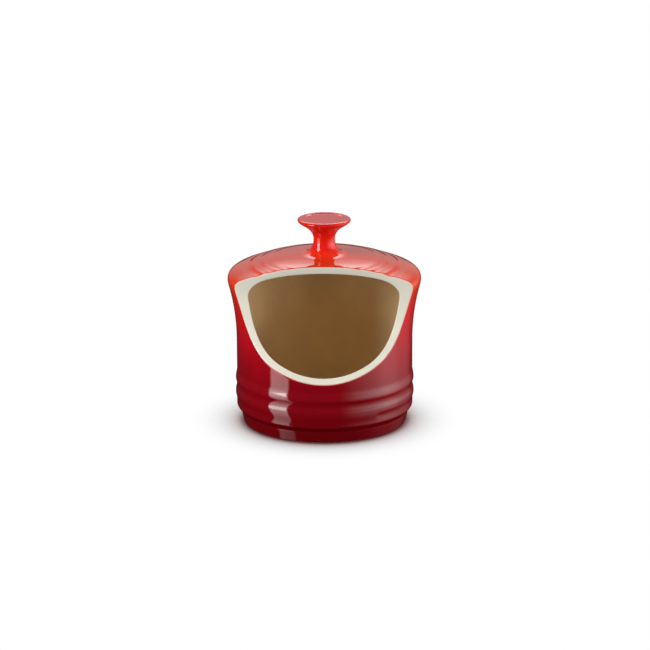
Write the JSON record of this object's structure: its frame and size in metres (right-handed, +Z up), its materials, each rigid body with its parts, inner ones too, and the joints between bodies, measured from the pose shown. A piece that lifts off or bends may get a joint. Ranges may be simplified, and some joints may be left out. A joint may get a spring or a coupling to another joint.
{
  "type": "salt crock",
  "caption": "Round glazed stoneware salt crock with a scooped front mouth, a ribbed foot, a low domed top and a turned knob; stands on a ring foot and keeps salt at hand.",
  "frame": {"origin": "on the crock's axis, at the level of the table, in the middle of the foot ring", "axes": "+Z up along the crock's axis, the mouth faces -Y, +X to the right as seen from the front"},
  "size_m": [0.1196, 0.1153, 0.1294],
  "materials": {
    "bare_clay": "unglazed, matte",
    "clay": "fired stoneware under the glaze",
    "red_glaze": "deep red gloss glaze, darker towards the foot",
    "orange_glaze": "orange-red gloss glaze",
    "cream_glaze": "cream gloss glaze",
    "sand_glaze": "sand brown gloss glaze"
  },
  "bodies": {
    "root": {"foot_ring": "bare_clay", "pot_floor": "clay", "pot_wall": "clay", "domed_top": "clay", "knob": "clay", "wall_glaze": "red_glaze", "top_glaze": "orange_glaze", "knob_glaze": "orange_glaze", "rim_glaze": "cream_glaze", "inner_glaze": "sand_glaze"}
  },
  "joints": []
}
